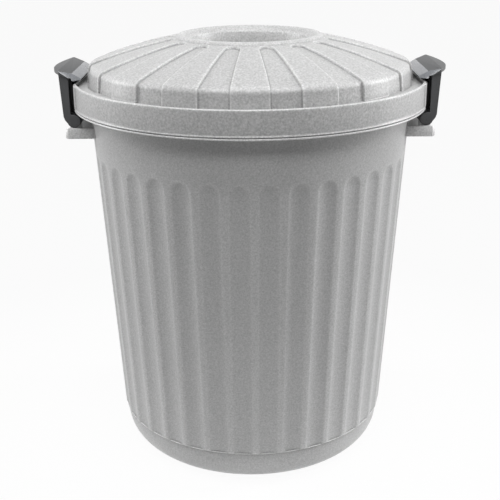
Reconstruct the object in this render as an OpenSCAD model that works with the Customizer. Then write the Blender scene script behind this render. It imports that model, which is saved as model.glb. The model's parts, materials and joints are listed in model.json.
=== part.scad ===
// Lidded round bin with a fluted bucket, a panelled domed lid and two swing clips.
// Millimetres. Z is up, the floor is z = 0, the bin axis is the Z axis.
// The front is -Y. The two clips sit on +X (right) and -X (left).

/* [Bucket] */
// Height of the lid rim above the floor
ledge_z = 509; // [440:1:600]
// Radius of the fluted cone where it would meet the floor
cone_low_r = 180.6; // [172:0.1:188]
// Distance from the lid edge in to the bucket wall, at the height of the lid rim
rim_inset = 18.7; // [17.5:0.1:19.6]
// Wall thickness of the bucket
bucket_wall = 2.6; // [2:0.1:3.2]
// Number of flutes round the bucket
flute_n = 36; // [30:1:38]
// Width of one flute where it meets the wall
flute_w = 25.6; // [20:0.1:27]
// Depth of one flute
flute_depth = 2.6; // [1.6:0.1:2.8]
// Turn of the flute pattern, so that a crest stands just right of the front
flute_turn = 1.25; // [0:0.05:5]
// Plain zone between the lid rim and the rounded tops of the flutes
plain_zone = 92; // [80:1:120]
// Height of the ring where the crests end
crest_foot = 50; // [46:1:70]
// Step in from the crests to the plain foot band
foot_step = 2.9; // [2.9:0.1:4]
// Radius of the large corner between wall and floor
foot_round = 40; // [30:1:44]
// Radius of the raised middle of the floor
floor_recess_r = 116; // [80:1:126]
// Height of the raised middle of the floor
floor_recess_h = 5; // [3:0.5:8]

/* [Rim] */
// Thickness of the flange that the lid skirt stands over
flange_t = 2.7; // [2:0.1:3.4]
// Gap between the lid skirt and the flange
flange_gap = 1.2; // [0.6:0.1:2]
// Radius of the rolled bead on the bucket mouth
rim_bead_r = 2.6; // [2:0.1:3]
// Gap between the rolled bead and the lid that rests over it
seat_gap = 0.3; // [0.2:0.05:0.6]

/* [Lid] */
// Radius of the lid band, the widest round of the bin
lid_r = 230; // [222:0.5:238]
// Wall thickness of the lid
lid_wall = 2.6; // [2:0.1:3.2]
// Depth of the lid band
skirt_h = 31.5; // [26:0.5:34]
// Height of the small bead on the lower edge of the lid band
skirt_bead_h = 2.2; // [1.4:0.1:3]
// How far that bead stands out of the band
skirt_bead_out = 0.8; // [0.4:0.1:1.2]
// Depth of the gutter between the raised rim of the band and the shoulder
gutter_d = 4.3; // [3:0.1:6]
// Width of the rim and gutter round the shoulder
ledge_w = 22.5; // [21:0.1:23.4]
// Height of the shoulder edge above the rim
shoulder_h = 19.7; // [14:0.1:24]
// Radius of the domed top
dome_r = 570; // [500:5:700]
// Number of raised panels on the dome
panel_n = 16; // [12:1:18]
// Angle of one sunken channel between two panels
channel_deg = 10.1; // [7:0.1:12]
// Depth of the sunken channels
channel_depth = 2.8; // [1.8:0.1:3.2]
// Radius where the channels end near the dish
channel_in_r = 98; // [98:0.5:110]
// Radius of the round dish in the middle
dish_r = 80.5; // [70:0.5:81]
// Depth of the dish below its lip
dish_depth = 25; // [15:0.5:32]
// Taper of the dish wall from lip to floor
dish_draft = 3.5; // [2:0.1:6]
// Radius of the rounded lip round the dish
lip_r = 8.5; // [4:0.1:8.8]
// Height of that lip above the dome
lip_rise = 2.8; // [1.5:0.1:3.5]
// Depth of the ring that centres the lid in the bucket mouth
spigot_h = 12; // [8:0.5:20]
// Gap between the foot of that ring and the bucket wall
spigot_gap = 1; // [0.5:0.1:2]

/* [Clips] */
// Half angle of the flat pads on the lid band that the clips stand over
pad_deg = 14.5; // [13.5:0.1:15]
// Gap between the pad and the strap of the clip
strap_gap = 5.5; // [5:0.1:6.5]
// Thickness of the strap at its foot
strap_t = 8.8; // [8.2:0.1:10]
// How far the strap leans out from its foot to its top
strap_lean = 3.4; // [1:0.1:5]
// Thickness of the outer web of the strap
web_t = 3.4; // [2.6:0.1:4]
// Thickness of the end cheeks of the clip
cheek_t = 3.6; // [3:0.1:5]
// Distance of the two inner ribs from the middle of the clip
rib_y = 19; // [10:0.5:24]
// Thickness of the inner ribs
rib_t = 2.6; // [2:0.1:4]
// Distance of the hinge axis out from the pad
hinge_out = 1.8; // [1.4:0.1:2.2]
// Depth of the hinge axis below the lid rim
hinge_drop = 47.8; // [47.4:0.1:50]
// Radius of the clip knuckle round the hinge axis
knuckle_r = 8.4; // [7.6:0.1:8.6]
// Height above the hinge axis where the strap starts to curl in under it
curl_h = 2.8; // [1:0.1:5]
// Angle from straight down where the strap runs into the knuckle
curl_deg = 24.6; // [15:0.1:35]
// Radius of the stub pins on the bucket lugs
pin_r = 3; // [2.5:0.1:3.5]
// Length of the stub pins
pin_len = 9; // [6:0.5:12]
// Radial clearance of the clip bores on the stub pins
pin_fit = 0.05; // [0.03:0.01:0.1]
// Thickness of the hook plate
plate_t = 5; // [4:0.1:5.6]
// Reach of the hook over the lid, in from the pad
hook_in = 10.2; // [8:0.1:11.5]
// Height of the hook lip above the lid rim
hook_play = 4; // [3.8:0.1:5]
// Width of the hook lip
hook_lip_w = 9.8; // [9:0.2:11]
// Height of the blunt edge of the hook lip
hook_edge = 1; // [0.5:0.1:1.5]
// Width of the bevel on the inner edge of the hook plate
hook_bevel_w = 12; // [10:0.1:12.5]
// Distance of the bevelled corners out from the hook lip
hook_corner = 9.5; // [7:0.25:12]
// Slope of the bevelled corners, in degrees
corner_tilt = 44; // [40:0.5:50]
// How far the hook plate stands past the cheeks at each end
plate_over = 4; // [2:0.1:5]
// How far the thumb edge stands out from the pad
thumb_out = 30.8; // [26:0.1:34]
// How far the ends of the thumb edge curve back
thumb_curve = 14.5; // [12:0.1:16]
// Thickness of the thumb edge
thumb_t = 3.6; // [3:0.1:5]
// Height of the hook plate above the lid rim, over the strap
crest_h = 16.8; // [16:0.1:18]
// Fall of the hook plate from the strap to the bevel, in degrees
plate_fall = 16.3; // [14:0.1:17]
// Fall of the hook plate from the strap to the thumb edge
thumb_fall = 1.6; // [0.5:0.1:3]

/* [Lugs] */
// Distance of each lug from the middle of the clip
lug_y = 34; // [28:0.5:36]
// Thickness of each lug
lug_t = 4; // [3:0.1:5]
// Radius of the round lug head
lug_r = 6.5; // [5:0.1:6.6]
// Side gap between lug and clip
lug_gap = 0.6; // [0.4:0.05:1]
// Depth of the slots for the lugs past the knuckle
slot_past = 0.8; // [0.5:0.1:1.2]
// Height of the shelf top below the hinge axis
shelf_drop = 14.2; // [14:0.1:16]
// Thickness of the shelf
shelf_t = 2.7; // [2:0.1:3.2]
// Depth of the skirt round the shelf
shelf_skirt = 5; // [3:0.1:7]
// How far the shelf stands out from the pad
shelf_out = 13.3; // [11:0.1:14]
// Height of the shelf ends above the shelf
shelf_end_h = 5.9; // [3:0.1:6]
// Thickness of the shelf ends
shelf_end_t = 2.9; // [2:0.1:4]
// Gap between the shelf ends and the clip
shelf_end_gap = 0.6; // [0.4:0.05:1]
// Bevel on the outer corners of the shelf
shelf_bevel = 4; // [2:0.1:6]

/* [Look] */
// Colour of the bucket and lid
grey = "#b9bbbc"; // color
// Colour of the clips
charcoal = "#3a3c3e"; // color

/* [Hidden] */
$fn = 128;

over = 1;
cone_top_r = lid_r - rim_inset;
cone_slope = (cone_top_r - cone_low_r) / ledge_z;
cone_a = atan(cone_slope);
flute_r = (flute_w * flute_w / 4 + flute_depth * flute_depth) / (2 * flute_depth);
flute_top_z = ledge_z - plain_zone - flute_w / 2;
flute_off = (flute_r - flute_depth) / cos(cone_a);
foot_low_r = cone_low_r - foot_step;
foot_c_r = foot_low_r + cone_slope * foot_round - foot_round / cos(cone_a);
foot_t_r = foot_c_r + foot_round * cos(cone_a);
foot_t_z = foot_round - foot_round * sin(cone_a);
wall_h = bucket_wall / cos(cone_a);
gutter_z = ledge_z - gutter_d;
rim_top_z = gutter_z - lid_wall - seat_gap;
flange_top_z = ledge_z - skirt_h - flange_gap;
flange_low_z = flange_top_z - flange_t;
shoulder_r = lid_r - ledge_w;
dome_c_z = ledge_z + shoulder_h - sqrt(dome_r * dome_r - shoulder_r * shoulder_r);
dome_top_z = dome_c_z + dome_r + lip_rise;
lip_c_r = dish_r + lip_r;
lip_c_z = dome_c_z + sqrt(dome_r * dome_r - lip_c_r * lip_c_r) + lip_rise - lip_r;
dish_z = lip_c_z + lip_r - dish_depth;
lip_foot_z = dome_c_z + sqrt(dome_r * dome_r - pow(lip_c_r + lip_r, 2)) - lid_wall / 2;
band_r = lid_r - skirt_bead_out;
rim_round = lid_wall / 2;
pad_x = lid_r * cos(pad_deg);
pad_half = lid_r * sin(pad_deg);
clip_half = pad_half - shelf_end_gap;
hinge_x = pad_x + hinge_out;
hinge_z = ledge_z - hinge_drop;
strap_in_x = pad_x + strap_gap;
strap_out_x = strap_in_x + strap_t;
strap_top_x = strap_out_x + strap_lean;
spigot_low_z = gutter_z - lid_wall - spigot_h;
spigot_r = cone_r(spigot_low_z) - wall_h - spigot_gap;
shelf_z = hinge_z - shelf_drop;
shelf_x = pad_x + shelf_out;
thumb_x = pad_x + thumb_out;
hook_x = pad_x - hook_in;
plate_half = clip_half + plate_over;
lug_slot_r = knuckle_r + slot_past;

ridge_x = hook_x + hook_bevel_w;

// Radius of the fluted cone at height z
function cone_r(z) = cone_low_r + cone_slope * z;

// Height of the top of the hook plate at distance x, inside the strap
function plate_z(x) = ledge_z + crest_h - (strap_top_x - x) * tan(plate_fall);

// Modules of the bucket

// Round section of the bucket, grown inwards by d
module bucket_round(d) {
  rotate_extrude() {
    // floor and large corner
    polygon([
      [0, d],
      [foot_c_r, d],
      [foot_c_r, foot_round],
      [0, foot_round]
    ]);
    intersection() {
      translate([foot_c_r, foot_round])
        circle(r = foot_round - d);
      translate([foot_c_r - over, 0])
        square([foot_round * 2, foot_round]);
    }
    // plain foot band
    polygon([
      [0, foot_t_z],
      [foot_t_r - d * cos(cone_a), foot_t_z + d * sin(cone_a)],
      [cone_r(crest_foot + d + over) - foot_step - d / cos(cone_a), crest_foot + d + over],
      [0, crest_foot + d + over]
    ]);
  }
}

// Fluted cone, grown inwards by d and ending at z = top
module fluted_cone(d, top) {
  low = crest_foot + d;
  difference() {
    translate([0, 0, low])
      cylinder(h = top - low, r1 = cone_r(low) - d / cos(cone_a), r2 = cone_r(top) - d / cos(cone_a));
    for (i = [0 : flute_n - 1])
      rotate([0, 0, i * 360 / flute_n + flute_turn + 180 / flute_n - 90])
        flute_tool(flute_r + d);
  }
}

// Round-ended cylinder lying along the cone, which cuts one flute
module flute_tool(r) {
  translate([cone_r(flute_top_z) + flute_off, 0, flute_top_z])
    rotate([0, cone_a, 0]) {
      translate([0, 0, crest_foot - flute_top_z - 6 * over])
        cylinder(h = flute_top_z - crest_foot + 6 * over, r = r);
      sphere(r = r);
    }
}

// Flange and rolled bead outside the mouth of the bucket
module rim_outside() {
  intersection() {
    rotate_extrude() {
      translate([cone_r(flange_low_z) - bucket_wall / 2, flange_low_z])
        square([lid_r - flange_t / 2 - cone_r(flange_low_z) + bucket_wall / 2, flange_t]);
      translate([lid_r - flange_t / 2, flange_low_z + flange_t / 2])
        circle(r = flange_t / 2);
    }
    cube([2 * pad_x, 3 * lid_r, 3 * ledge_z], center = true);
  }
  rotate_extrude()
    translate([cone_r(rim_top_z - rim_bead_r) - bucket_wall + rim_bead_r, rim_top_z - rim_bead_r])
      circle(r = rim_bead_r);
}

// Shelf with two lugs and their stub pins, on the +X side
module hinge_bracket() {
  end_y = clip_half + shelf_end_gap;
  full_y = end_y + shelf_end_t;
  pocket_step = (full_y - shelf_end_t) * 2 / 3;
  pocket_w = full_y * 2 / 3 - 2 * shelf_end_t;
  in_x = sqrt(pow(cone_r(shelf_z) - bucket_wall, 2) - full_y * full_y);
  difference() {
    translate([in_x, -full_y, shelf_z - shelf_t - shelf_skirt])
      cube([shelf_x - in_x, 2 * full_y, shelf_t + shelf_skirt + shelf_end_h]);
    // bed for the turning clip
    translate([in_x - over, -end_y, shelf_z])
      cube([shelf_x - in_x + 2 * over, 2 * end_y, shelf_end_h + over]);
    // three pockets under the shelf
    for (k = [-1 : 1])
      translate([in_x - over, k * pocket_step - pocket_w / 2, shelf_z - shelf_t - shelf_skirt - over])
        cube([shelf_x - in_x + over - shelf_t, pocket_w, shelf_skirt + over]);
    // bevels on the outer corners
    for (s = [-1, 1])
      translate([shelf_x, s * full_y, shelf_z])
        rotate([0, 0, 45])
          cube(
            [shelf_bevel * 1.414, shelf_bevel * 1.414, 3 * (shelf_t + shelf_skirt + shelf_end_h)],
            center = true
          );
  }
  for (s = [-1, 1])
    hinge_lug(s);
}

module hinge_lug(s) {
  y0 = s > 0 ? lug_y : -lug_y - lug_t;
  translate([0, y0 + lug_t, 0])
    rotate([90, 0, 0])
      linear_extrude(lug_t) {
        translate([hinge_x, hinge_z])
          circle(r = lug_r);
        translate([hinge_x - lug_r, shelf_z - over])
          square([2 * lug_r, shelf_drop + over]);
      }
  translate([hinge_x, s * (lug_y + lug_t - over), hinge_z])
    rotate([-s * 90, 0, 0])
      cylinder(h = pin_len + over, r = pin_r);
}

module bucket() {
  mouth_r = cone_r(rim_top_z - rim_bead_r) - wall_h;
  color(grey)
    difference() {
      union() {
        difference() {
          union() {
            bucket_round(0);
            fluted_cone(0, rim_top_z - rim_bead_r);
            rim_outside();
            hinge_bracket();
            rotate([0, 0, 180])
              hinge_bracket();
          }
          bucket_round(bucket_wall);
          fluted_cone(bucket_wall, rim_top_z - rim_bead_r + over);
          // mouth inside the rolled bead
          translate([0, 0, rim_top_z - rim_bead_r - over])
            cylinder(h = rim_bead_r + 3 * over, r = mouth_r);
        }
        // raised middle of the floor, seen from inside
        translate([0, 0, bucket_wall / 2])
          cylinder(
            h = floor_recess_h + bucket_wall / 2,
            r1 = floor_recess_r + bucket_wall,
            r2 = floor_recess_r
          );
      }
      // raised middle of the floor, seen from below
      translate([0, 0, -over])
        cylinder(h = over + floor_recess_h, r1 = floor_recess_r + over, r2 = floor_recess_r - floor_recess_h);
    }
}

// Modules of the lid

// Dome and shoulder as a solid, grown inwards by d, with the channels sunk in it
module dome_solid(d, low) {
  difference() {
    dome_plain(d, low);
    for (i = [0 : panel_n - 1])
      rotate([0, 0, (i + 0.5) * 360 / panel_n - 90])
        channel_prism(d);
  }
  dome_plain(d + channel_depth, low);
}

module dome_plain(d, low) {
  intersection() {
    translate([0, 0, dome_c_z])
      sphere(r = dome_r - d);
    translate([0, 0, low])
      cylinder(h = dome_top_z + over - low, r = shoulder_r - d);
  }
}

// Prism over one channel, with a round inner end
module channel_prism(d) {
  h = channel_deg / 2;
  c = channel_in_r / (1 - sin(h));
  w = lid_r * 1.1;
  g = d / cos(h);
  translate([0, 0, gutter_z - lid_wall - over])
    linear_extrude(dome_top_z + 3 * over + lid_wall - gutter_z) {
      polygon([
        [c, -c * tan(h) - g],
        [w, -w * tan(h) - g],
        [w, w * tan(h) + g],
        [c, c * tan(h) + g]
      ]);
      translate([c, 0])
        circle(r = c * tan(h) + g);
    }
}

// Gutter and band with its raised rim and two flat pads, as a solid
module band_solid() {
  intersection() {
    rotate_extrude() {
      translate([0, ledge_z - skirt_h])
        square([band_r, gutter_z - ledge_z + skirt_h]);
      translate([band_r - lid_wall, gutter_z - over])
        square([lid_wall, ledge_z - rim_round - gutter_z + over]);
      translate([band_r - rim_round, ledge_z - rim_round])
        circle(r = rim_round);
      // bead on the lower edge
      translate([0, ledge_z - skirt_h])
        square([lid_r, skirt_bead_h]);
    }
    cube([2 * pad_x, 3 * lid_r, 3 * ledge_z], center = true);
  }
  // straight stretches of the rim behind the pads
  intersection() {
    cylinder(h = 2 * ledge_z, r = band_r);
    for (s = [0, 180])
      rotate([90, 0, s])
        linear_extrude(3 * lid_r, center = true)
          pad_rim_outline();
  }
}

// Section of the rim behind a pad, with blunted upper edges
module pad_rim_outline() {
  in_x = pad_x - lid_wall;
  blunt = rim_round / 2;
  polygon([
    [in_x, gutter_z - over],
    [pad_x, gutter_z - over],
    [pad_x, ledge_z - 2.5 * blunt],
    [pad_x - blunt, ledge_z - blunt / 2],
    [in_x + blunt, ledge_z - blunt / 2],
    [in_x, ledge_z - 2.5 * blunt]
  ]);
}

module dish_cup() {
  floor_r = dish_r - dish_draft;
  rotate_extrude() {
    difference() {
      polygon([
        [0, dish_z - lid_wall],
        [floor_r + lid_wall, dish_z - lid_wall],
        [dish_r + lid_wall, lip_c_z],
        [0, lip_c_z]
      ]);
      polygon([
        [0, dish_z],
        [floor_r, dish_z],
        [dish_r, lip_c_z],
        [dish_r, lip_c_z + over],
        [0, lip_c_z + over]
      ]);
    }
    // half ring of the lip, whose outer side ends in the dome
    difference() {
      translate([lip_c_r, lip_c_z])
        circle(r = lip_r);
      translate([lip_c_r, lip_c_z])
        circle(r = lip_r - lid_wall);
      translate([lip_c_r - 2 * lip_r, lip_c_z - 2 * lip_r])
        square([4 * lip_r, 2 * lip_r]);
      translate([lip_c_r, lip_foot_z - 2 * lip_r])
        square([2 * lip_r, 2 * lip_r]);
    }
  }
}

module lid() {
  color(grey) {
    difference() {
      union() {
        dome_solid(0, gutter_z - lid_wall / 2);
        band_solid();
      }
      dome_solid(lid_wall, gutter_z - lid_wall - over);
      band_inside();
      // opening for the dish
      translate([0, 0, ledge_z])
        cylinder(h = dome_top_z + over - ledge_z, r = lip_c_r + lip_r - lid_wall);
    }
    dish_cup();
    spigot();
  }
}

// Hollow under the gutter, inside the band
module band_inside() {
  intersection() {
    translate([0, 0, ledge_z - skirt_h - over])
      cylinder(h = gutter_z - lid_wall - ledge_z + skirt_h + over, r = band_r - lid_wall);
    cube([2 * (pad_x - lid_wall), 3 * lid_r, 3 * ledge_z], center = true);
  }
}

// Ring under the gutter that centres the lid in the bucket mouth
module spigot() {
  translate([0, 0, spigot_low_z])
    difference() {
      cylinder(h = spigot_h + lid_wall / 2, r = spigot_r);
      translate([0, 0, -over])
        cylinder(h = spigot_h + lid_wall + 2 * over, r = spigot_r - lid_wall);
    }
}

// Modules of the clips

// Side outline of an end cheek of the clip
module cheek_outline() {
  polygon([
    [hinge_x, hinge_z + knuckle_r],
    [strap_in_x, hinge_z + knuckle_r],
    [strap_in_x, plate_z(strap_in_x) - plate_t + over],
    [strap_top_x, plate_z(strap_top_x) - plate_t + over],
    [strap_out_x, hinge_z + curl_h],
    [hinge_x + knuckle_r * sin(curl_deg), hinge_z - knuckle_r * cos(curl_deg)],
    [hinge_x, hinge_z]
  ]);
  translate([hinge_x, hinge_z])
    circle(r = knuckle_r);
}

// Side outline of the outer web of the strap
module web_outline() {
  polygon([
    [strap_out_x - web_t, hinge_z + knuckle_r - 2 * over],
    [strap_top_x - web_t, plate_z(strap_top_x - web_t) - plate_t + over],
    [strap_top_x, plate_z(strap_top_x) - plate_t + over],
    [strap_out_x, hinge_z + curl_h],
    [hinge_x + knuckle_r * sin(curl_deg), hinge_z - knuckle_r * cos(curl_deg)],
    [hinge_x, hinge_z]
  ]);
}

// Side outline of an inner rib of the strap
module rib_outline() {
  in_x = strap_in_x + rib_t;
  polygon([
    [in_x, hinge_z + knuckle_r - 4 * over],
    [in_x, plate_z(in_x) - plate_t + over],
    [strap_out_x, plate_z(strap_out_x) - plate_t + over],
    [strap_out_x - over, hinge_z + knuckle_r - 4 * over]
  ]);
}

// Side outline of the hook plate, from the thumb edge in to the lip
module plate_profile() {
  polygon([
    [thumb_x, ledge_z + crest_h - thumb_fall],
    [strap_top_x, plate_z(strap_top_x)],
    [ridge_x, plate_z(ridge_x)],
    [hook_x, ledge_z + hook_play + hook_edge],
    [hook_x + hook_edge / 2, ledge_z + hook_play],
    [hook_x + hook_lip_w, ledge_z + hook_play],
    [ridge_x, plate_z(ridge_x) - plate_t],
    [strap_top_x, plate_z(strap_top_x) - plate_t],
    [thumb_x, ledge_z + crest_h - thumb_fall - thumb_t]
  ]);
}

// Hook plate with the curved thumb edge and two bevelled corners
module hook_plate() {
  arc_r = (plate_half * plate_half + thumb_curve * thumb_curve) / (2 * thumb_curve);
  difference() {
    intersection() {
      rotate([90, 0, 0])
        linear_extrude(2 * plate_half, center = true)
          plate_profile();
      translate([thumb_x - arc_r, 0, ledge_z])
        cylinder(h = 2 * crest_h, r = arc_r);
    }
    for (s = [-1, 1])
      translate([hook_x + hook_corner, s * plate_half, ledge_z + hook_play])
        rotate([0, corner_tilt, s * 135])
          translate([-plate_half, -plate_half, 0])
            cube(2 * plate_half);
  }
}

// Clip on the +X side, closed
module clip_solid() {
  difference() {
    union() {
      for (s = [-1, 1])
        translate([0, s * (clip_half - cheek_t / 2) + cheek_t / 2, 0])
          rotate([90, 0, 0])
            linear_extrude(cheek_t)
              cheek_outline();
      translate([0, clip_half - over / 2, 0])
        rotate([90, 0, 0])
          linear_extrude(2 * clip_half - over)
            web_outline();
      // knuckle
      translate([hinge_x, clip_half - over / 2, hinge_z])
        rotate([90, 0, 0])
          cylinder(h = 2 * clip_half - over, r = knuckle_r);
      hook_plate();
      // inner ribs of the strap
      for (s = [-1, 1])
        translate([0, s * rib_y, 0])
          rotate([90, 0, 0])
            linear_extrude(rib_t, center = true)
              rib_outline();
    }
    for (s = [-1, 1]) {
      // slot for the lug
      translate([hinge_x, s * (lug_y + lug_t / 2), hinge_z])
        rotate([90, 0, 0])
          cylinder(h = lug_t + 2 * lug_gap, r = lug_slot_r, center = true);
      translate([
        hinge_x - lug_slot_r,
        s * (lug_y + lug_t / 2) - lug_t / 2 - lug_gap,
        hinge_z - 2 * lug_slot_r
      ])
        cube([lug_slot_r + strap_top_x - hinge_x + over, lug_t + 2 * lug_gap, 2 * lug_slot_r + lug_r + over]);
      // bore for the stub pin
      translate([hinge_x, s * (lug_y + lug_t), hinge_z])
        rotate([-s * 90, 0, 0])
          cylinder(h = pin_len + lug_gap, r = pin_r + pin_fit);
    }
  }
}

module clip_right() {
  color(charcoal)
    clip_solid();
}

module clip_left() {
  color(charcoal)
    rotate([0, 0, 180])
      clip_solid();
}

bucket();
lid();
clip_left();
clip_right();
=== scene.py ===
"""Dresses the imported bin: a fluted bucket, a panelled domed lid and two charcoal clips."""

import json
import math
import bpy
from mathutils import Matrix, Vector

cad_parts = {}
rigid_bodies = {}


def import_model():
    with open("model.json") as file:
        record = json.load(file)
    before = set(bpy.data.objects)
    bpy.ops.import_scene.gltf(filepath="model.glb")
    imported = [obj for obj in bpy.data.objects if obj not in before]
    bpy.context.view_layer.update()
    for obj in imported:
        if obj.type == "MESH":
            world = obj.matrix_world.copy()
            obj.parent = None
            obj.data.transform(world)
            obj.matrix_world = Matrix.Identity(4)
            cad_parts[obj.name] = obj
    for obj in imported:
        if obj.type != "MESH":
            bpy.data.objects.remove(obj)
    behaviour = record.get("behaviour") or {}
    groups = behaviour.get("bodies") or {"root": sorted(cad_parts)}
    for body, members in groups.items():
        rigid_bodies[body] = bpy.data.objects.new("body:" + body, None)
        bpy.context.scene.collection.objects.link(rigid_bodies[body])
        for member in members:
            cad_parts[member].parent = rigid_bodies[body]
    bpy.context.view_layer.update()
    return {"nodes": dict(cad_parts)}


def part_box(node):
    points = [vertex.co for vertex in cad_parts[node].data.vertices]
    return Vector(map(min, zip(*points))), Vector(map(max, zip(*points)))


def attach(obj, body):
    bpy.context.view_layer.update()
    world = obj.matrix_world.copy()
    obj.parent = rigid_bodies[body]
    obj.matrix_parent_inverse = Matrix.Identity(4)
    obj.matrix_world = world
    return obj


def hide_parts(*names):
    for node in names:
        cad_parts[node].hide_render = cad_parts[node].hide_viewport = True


bl_info = {
    "name": "Lidded bin",
    "version": (1, 0, 0),
    "blender": (4, 5, 0),
    "location": "View3D > Sidebar > Bin",
    "description": "Models and finishes a round fluted bin with a domed lid and two clips",
    "category": "Object",
}

import bpy
import bmesh
from mathutils import Matrix, Vector

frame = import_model()
LID_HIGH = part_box("lid")[1]

MM = 0.001

# How near a place counts as on a row, how near doubles merge, and a size as good as none
NEAR = 0.00002
MERGE = 0.00001
TINY = 0.0001

LEAST_WEIGHT = 0.002


# Sizes and colours that a user would change


class BinSizes(bpy.types.PropertyGroup):
    lid_radius: bpy.props.FloatProperty(
        name="Lid radius",
        description="Radius of the lid band",
        default=LID_HIGH.y,
        subtype="DISTANCE",
        unit="LENGTH",
    )
    rim_height: bpy.props.FloatProperty(
        name="Rim height",
        description="Height of the lid rim above the floor",
        default=0.509,
        subtype="DISTANCE",
        unit="LENGTH",
    )
    cone_low: bpy.props.FloatProperty(
        name="Cone radius low",
        description="Radius of the crests where they would meet the floor",
        default=0.1806,
        subtype="DISTANCE",
        unit="LENGTH",
    )
    wall: bpy.props.FloatProperty(
        name="Wall",
        description="Wall thickness of bucket and lid",
        default=0.0026,
        subtype="DISTANCE",
        unit="LENGTH",
    )
    flutes: bpy.props.IntProperty(
        name="Flutes", description="Number of flutes round the bucket", default=36
    )
    flute_width: bpy.props.FloatProperty(
        name="Flute width",
        description="Width of one flute where it meets the wall",
        default=0.0256,
        subtype="DISTANCE",
        unit="LENGTH",
    )
    flute_depth: bpy.props.FloatProperty(
        name="Flute depth",
        description="Depth of one flute",
        default=0.0026,
        subtype="DISTANCE",
        unit="LENGTH",
    )
    flute_turn: bpy.props.FloatProperty(
        name="Flute turn",
        description="Turn of the flute pattern from the front",
        default=math.radians(1.25),
        subtype="ANGLE",
        unit="ROTATION",
    )
    panels: bpy.props.IntProperty(
        name="Panels", description="Number of raised panels on the lid", default=16
    )
    channel_depth: bpy.props.FloatProperty(
        name="Channel depth",
        description="Depth of the channels between the lid panels",
        default=0.0028,
        subtype="DISTANCE",
        unit="LENGTH",
    )


class BinColours(bpy.types.PropertyGroup):
    bucket: bpy.props.FloatVectorProperty(
        name="Bucket",
        description="Colour of the bucket plastic",
        default=(0.465, 0.465, 0.465),
        size=3,
        min=0,
        max=1,
        subtype="COLOR",
    )
    lid: bpy.props.FloatVectorProperty(
        name="Lid",
        description="Colour of the lid plastic",
        default=(0.465, 0.465, 0.465),
        size=3,
        min=0,
        max=1,
        subtype="COLOR",
    )
    clip: bpy.props.FloatVectorProperty(
        name="Clips",
        description="Colour of the clip plastic",
        default=(0.024, 0.025, 0.027),
        size=3,
        min=0,
        max=1,
        subtype="COLOR",
    )
    floor: bpy.props.FloatVectorProperty(
        name="Floor",
        description="Colour of the studio floor",
        default=(0.8, 0.8, 0.8),
        size=3,
        min=0,
        max=1,
        subtype="COLOR",
    )


# Small tools for modelling


def start_clean():
    """Object mode with nothing selected."""
    if bpy.context.object and bpy.context.object.mode != "OBJECT":
        bpy.ops.object.mode_set(mode="OBJECT")
    bpy.ops.object.select_all(action="DESELECT")


def pick(piece):
    """Selects the piece alone and makes it active."""
    start_clean()
    bpy.context.view_layer.objects.active = piece
    piece.select_set(True)


def select_verts(test):
    """In edit mode, selects the vertices whose number and place pass the test."""
    mesh = bmesh.from_edit_mesh(bpy.context.object.data)
    mesh.verts.ensure_lookup_table()
    for v in mesh.verts:
        v.select = bool(test(v.index, v.co))
    mesh.select_mode = {"VERT"}
    mesh.select_flush_mode()
    bmesh.update_edit_mesh(bpy.context.object.data)


def open_ring(name, verts, radius, z):
    """A filled circle whose rim is selected, ready to be drawn out row by row."""
    start_clean()
    bpy.ops.mesh.primitive_circle_add(
        vertices=verts, radius=radius * MM, fill_type="NGON", location=(0, 0, z * MM)
    )
    piece = bpy.context.object
    piece.name = name
    bpy.ops.object.transform_apply(location=True, rotation=True, scale=True)
    bpy.ops.object.mode_set(mode="EDIT")
    bpy.ops.mesh.select_mode(type="VERT")
    bpy.ops.mesh.select_all(action="SELECT")
    return piece


def place_columns(repeats, angles):
    """Turns each column of the circle to its own angle within one repeat, in degrees."""
    count = len(angles)
    for k, angle in enumerate(angles):
        even = k * 360 / (repeats * count)
        if abs(angle - even) < 1e-6:
            continue
        select_verts(lambda i, co: i % count == k)
        turn_about_axis(angle - even)
    bpy.ops.mesh.select_all(action="SELECT")


def turn_about_axis(degrees):
    """Turns what is selected about the bin axis, counterclockwise from above."""
    bpy.ops.transform.rotate(
        value=-math.radians(degrees), orient_axis="Z", center_override=(0, 0, 0)
    )


def draw_rows(rows, first):
    """Draws the selected rim out through the rows of (radius, height) in millimetres."""
    r0, z0 = first
    bpy.ops.mesh.select_mode(type="EDGE")
    for r, z in rows:
        bpy.ops.mesh.extrude_region_move(
            TRANSFORM_OT_translate={"value": (0, 0, (z - z0) * MM)}
        )
        bpy.ops.transform.resize(value=(r / r0, r / r0, 1), center_override=(0, 0, 0))
        r0, z0 = r, z


def arc(cr, cz, radius, a0, a1, steps):
    """Points of an arc from angle a0 to a1, in degrees, without the first one."""
    out = []
    for k in range(1, steps + 1):
        a = math.radians(a0 + (a1 - a0) * k / steps)
        out.append((cr + radius * math.cos(a), cz + radius * math.sin(a)))
    return out


def ease(x):
    """0 below 0, 1 above 1, and smooth between."""
    x = min(max(x, 0.0), 1.0)
    return x * x * (3 - 2 * x)


def radius_of(co):
    """Distance of a place from the bin axis, in millimetres."""
    return math.hypot(co.x, co.y) / MM


def angle_of(co, start, pitch):
    """Angle of a place to the nearest mark, where marks stand a pitch apart from the start."""
    a = math.atan2(co.y, co.x) + math.pi / 2 - start
    return (a + pitch / 2) % pitch - pitch / 2


def weight_by(piece, name, amount):
    """A vertex group whose weight follows amount(place)."""
    group = piece.vertex_groups.new(name=name)
    for v in piece.data.vertices:
        w = amount(v.co)
        if w > LEAST_WEIGHT:
            group.add([v.index], w, "REPLACE")


def draw_inwards(piece, name, factor):
    """Draws a vertex group in towards the bin axis by a share of its radius."""
    m = piece.modifiers.new(name, "CAST")
    m.cast_type = "CYLINDER"
    m.use_z = False
    m.use_radius_as_size = False
    m.size = TINY
    m.factor = factor
    m.vertex_group = name


def apply_all(piece):
    """Applies every modifier of the piece, from the top."""
    pick(piece)
    for m in list(piece.modifiers):
        bpy.ops.object.modifier_apply(modifier=m.name)


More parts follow.
